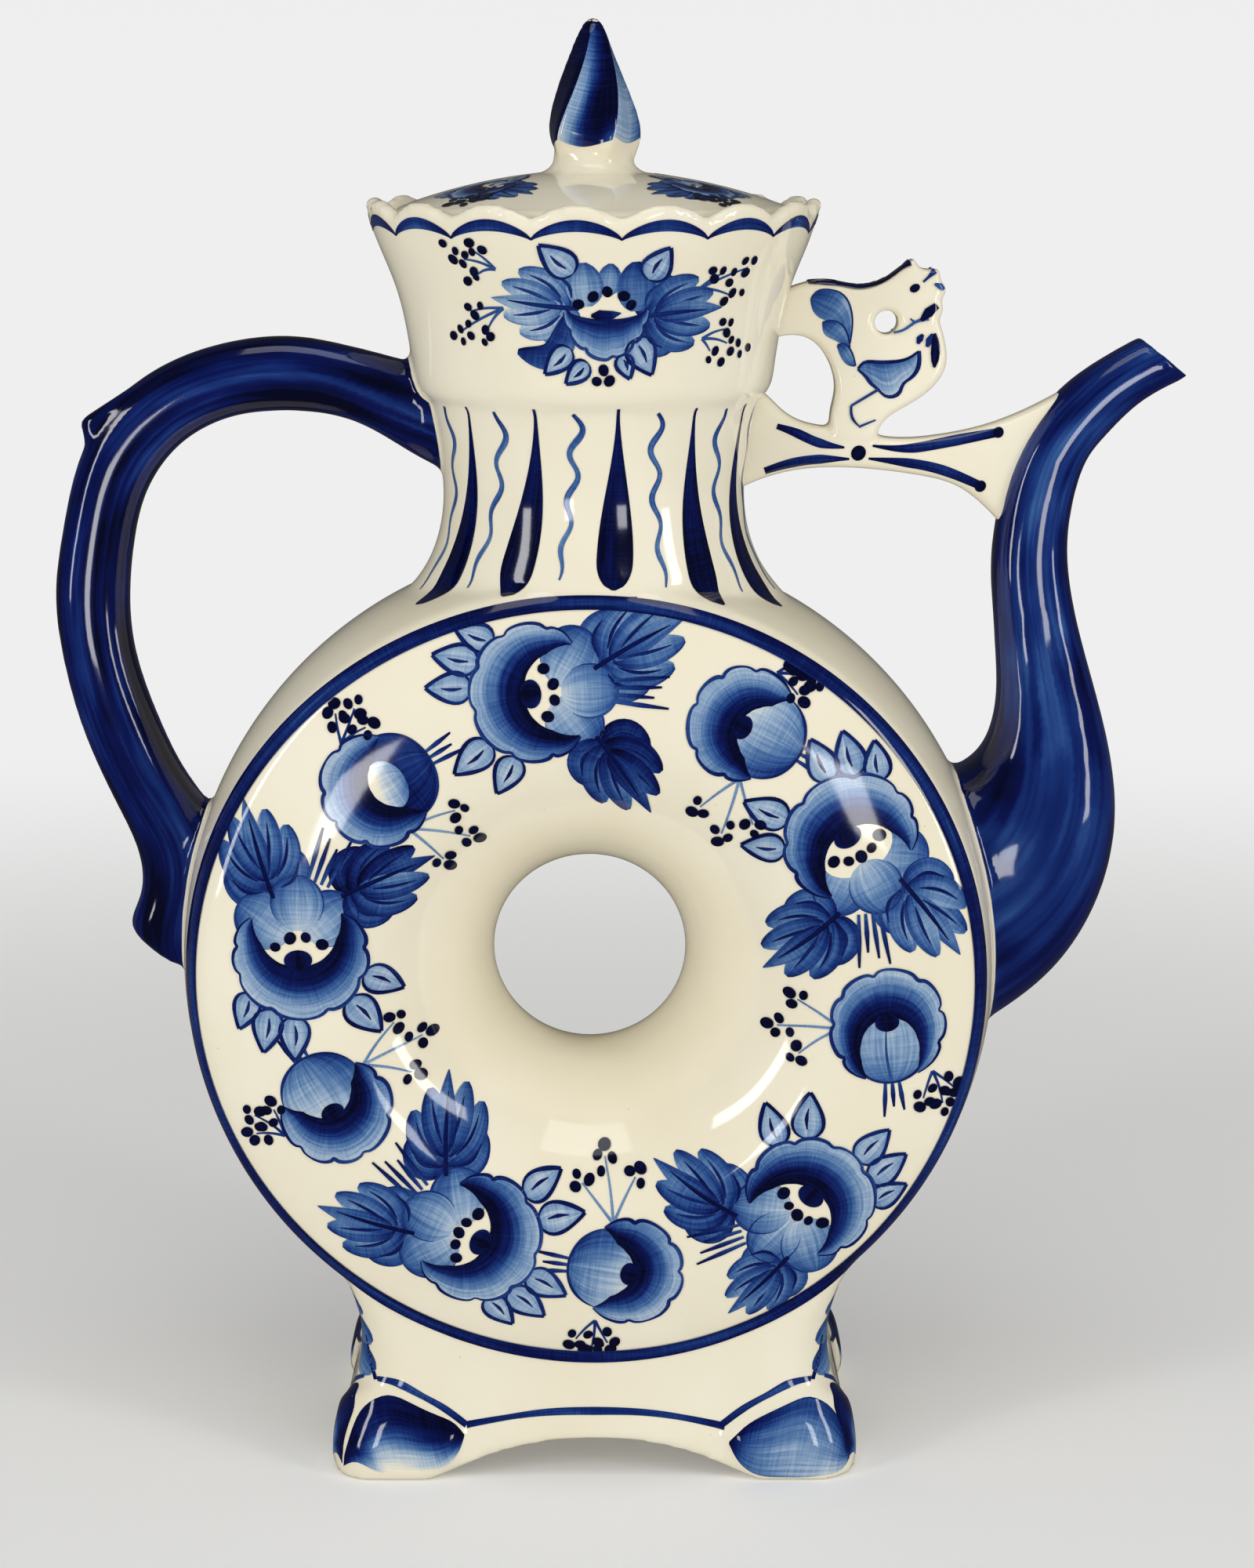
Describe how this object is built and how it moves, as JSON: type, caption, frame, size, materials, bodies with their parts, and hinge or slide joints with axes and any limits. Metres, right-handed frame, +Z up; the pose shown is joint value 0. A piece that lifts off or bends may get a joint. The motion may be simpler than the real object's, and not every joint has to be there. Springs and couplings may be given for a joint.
{
  "type": "ring-bodied porcelain teapot",
  "caption": "Ring-bodied porcelain teapot with lift-off lid, curved spout, loop handle and rooster bridge, painted with cobalt flowers.",
  "frame": {"origin": "bottom centre of the whole teapot's box, on the table that the feet stand on; the neck and lid axis is 5.85 mm towards the handle from it", "axes": "+Z up along the neck and lid axis, +X towards the spout, -Y towards the painted front"},
  "size_m": [0.2676, 0.1068, 0.34],
  "materials": {
    "porcelain_body": "clear gloss glaze over ivory porcelain with cobalt underglaze flowers",
    "porcelain_feet": "clear gloss glaze over cobalt shaded from navy to white",
    "cobalt_spout": "clear gloss glaze over brushed cobalt wash",
    "cobalt_handle": "clear gloss glaze over brushed cobalt wash",
    "porcelain_trim": "clear gloss glaze over ivory porcelain with cobalt strokes",
    "porcelain_lid": "clear gloss glaze over ivory porcelain with cobalt underglaze flowers",
    "cobalt_bud": "clear gloss glaze over cobalt shaded from navy to pale blue"
  },
  "bodies": {
    "pot": {"ring_front": "porcelain_body", "ring_back": "porcelain_body", "neck": "porcelain_body", "collar": "porcelain_body", "pedestal": "porcelain_body", "foot_front_left": "porcelain_feet", "foot_front_right": "porcelain_feet", "foot_back_left": "porcelain_feet", "foot_back_right": "porcelain_feet", "spout_stem": "cobalt_spout", "spout_beak": "cobalt_spout", "handle": "cobalt_handle", "bridge": "porcelain_trim", "rooster": "porcelain_trim"},
    "lid": {"lid_dome": "porcelain_lid", "lid_skirt": "porcelain_lid", "lid_bud": "cobalt_bud"}
  },
  "joints": [
    {"name": "lid_lift", "type": "slide", "parent": "pot", "child": "lid", "axis": [0, 0, 1], "range_m": [0, 0.08]}
  ]
}
